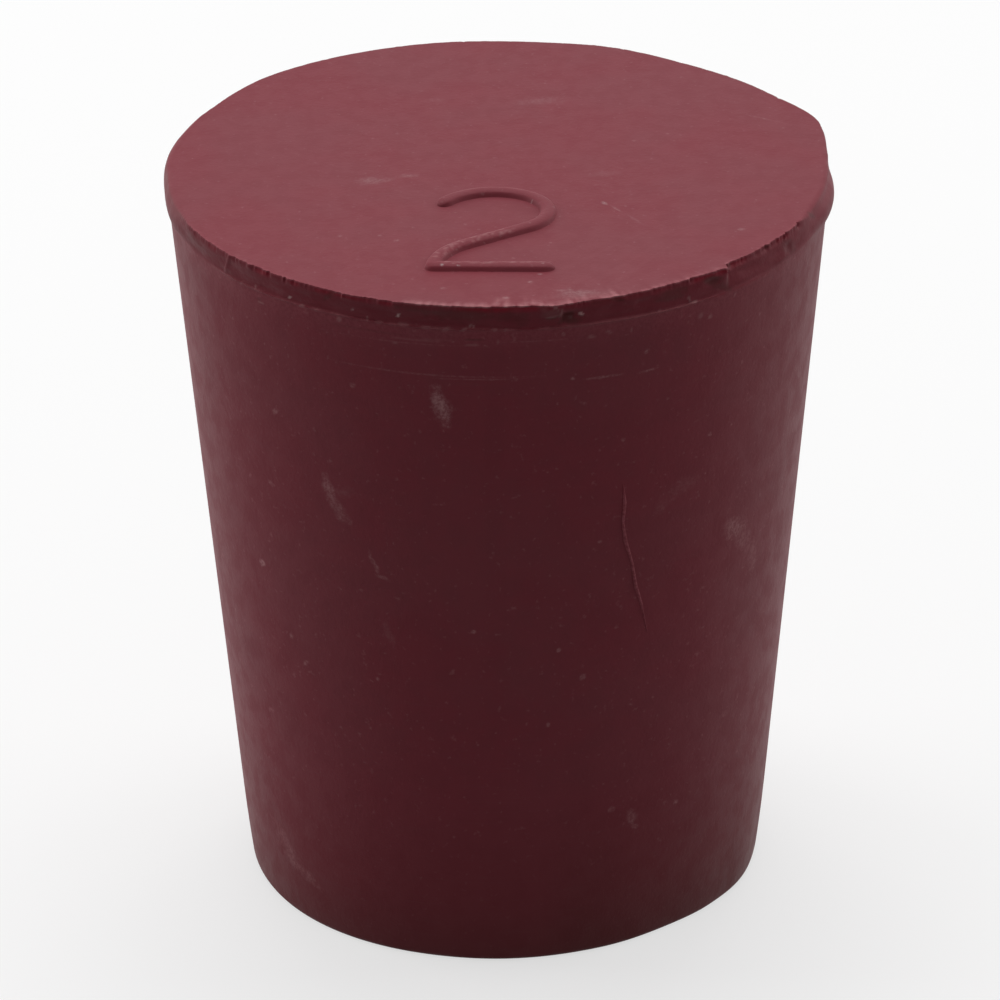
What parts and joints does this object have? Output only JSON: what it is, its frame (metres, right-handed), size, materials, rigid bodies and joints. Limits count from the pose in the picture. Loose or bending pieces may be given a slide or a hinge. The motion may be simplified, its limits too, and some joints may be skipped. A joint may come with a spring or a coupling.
{
  "type": "rubber stopper",
  "caption": "Solid tapered rubber stopper that tapers down to a flat foot, with a trimmed wide end and a raised size number on its top face.",
  "frame": {"origin": "centre of the flat foot, on the plug's axis", "axes": "+Z along the plug's axis from the foot to the wide end; -Y is the side from which the raised number reads upright, and +X is to the right of that reader"},
  "size_m": [0.0176, 0.0175, 0.0202],
  "materials": {
    "red_rubber": "matt moulded red rubber with a faint chalky bloom, darker where the edge was cut"
  },
  "bodies": {
    "root": {"stopper": "red_rubber"}
  },
  "joints": []
}
